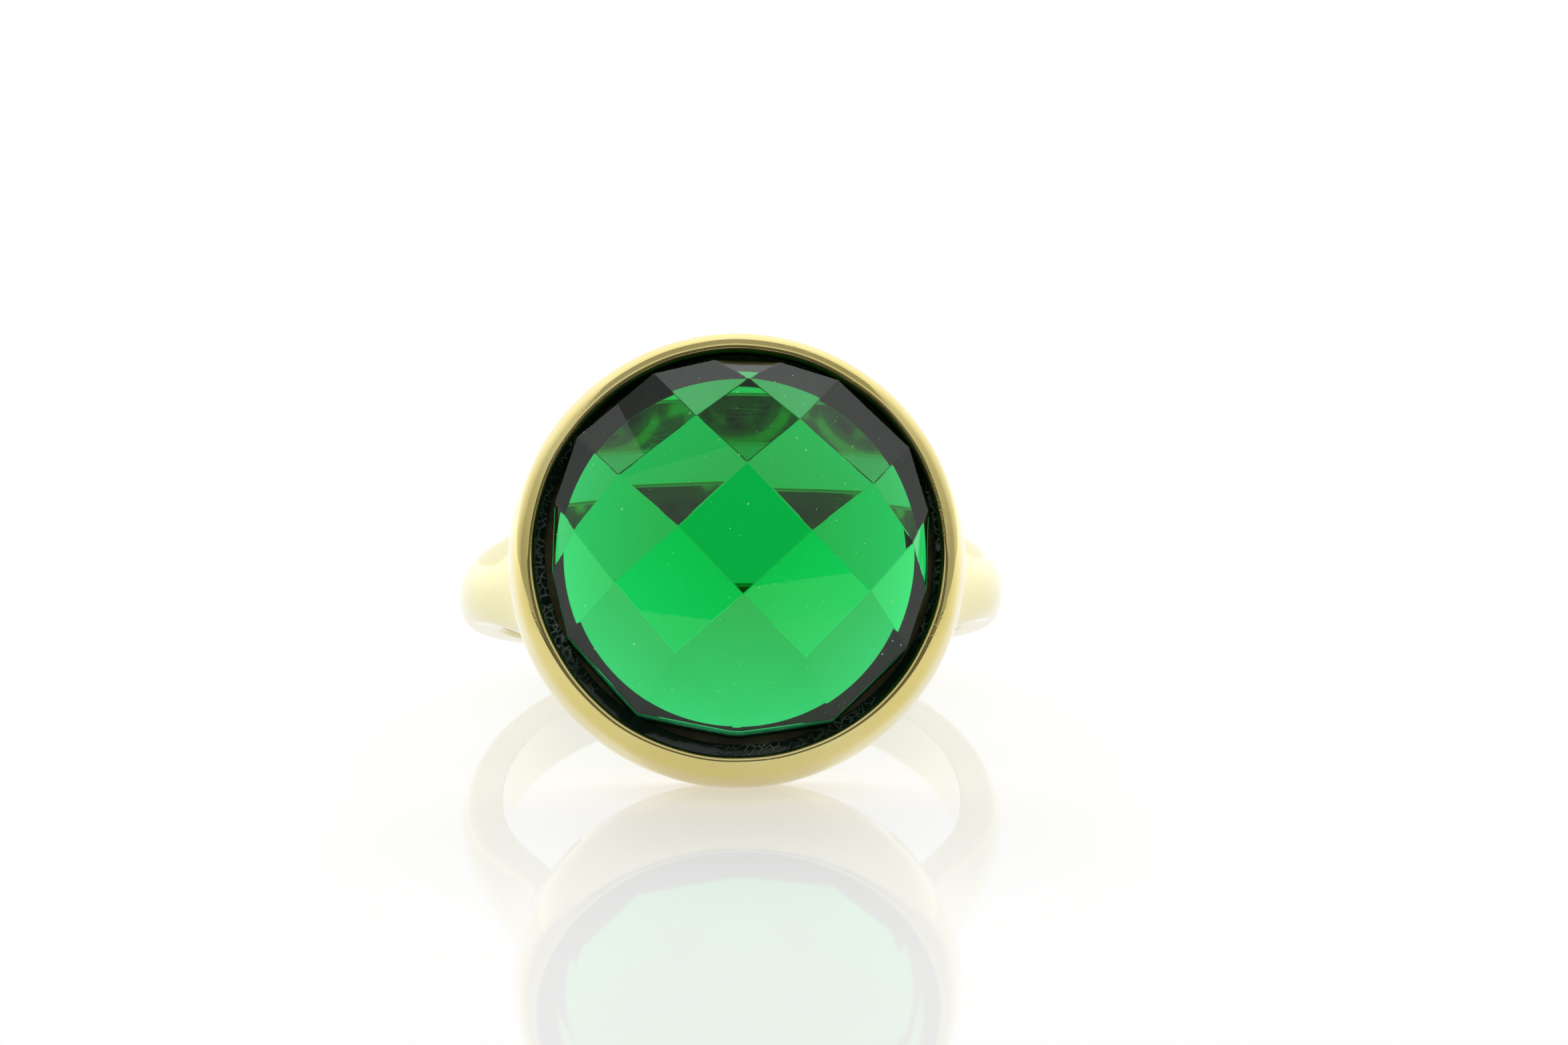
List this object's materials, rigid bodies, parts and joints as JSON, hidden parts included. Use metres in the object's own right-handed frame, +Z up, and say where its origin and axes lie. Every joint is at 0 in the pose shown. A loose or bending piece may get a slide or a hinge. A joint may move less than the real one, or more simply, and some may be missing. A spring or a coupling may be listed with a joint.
{
  "type": "cocktail ring",
  "caption": "Finger ring with a large round chequer-cut green glass stone in a plain rounded gold collet, on a tapering D-section gold shank.",
  "frame": {"origin": "on the table, under the middle of the overall box", "axes": "+Z up; the ring lies as it rests on a table, the stone facing -Y and a little up, the back of the shank towards +Y, X across"},
  "size_m": [0.0204, 0.0254, 0.0157],
  "materials": {
    "green_glass": "polished, transparent emerald green, flat back",
    "gold": "high polish, pale yellow gold, fine wear scratches",
    "gold_inside": "satin, as turned, not polished",
    "cement": "dull dark crackled setting cement",
    "gold_shank": "high polish, pale yellow gold",
    "solder": "bright fine seam, slightly paler than the gold"
  },
  "bodies": {
    "root": {"stone": "green_glass", "collet": "gold", "bearing_ring": "gold_inside", "setting_cement": "cement", "shank": "gold_shank", "solder_left": "solder", "solder_right": "solder"}
  },
  "joints": []
}
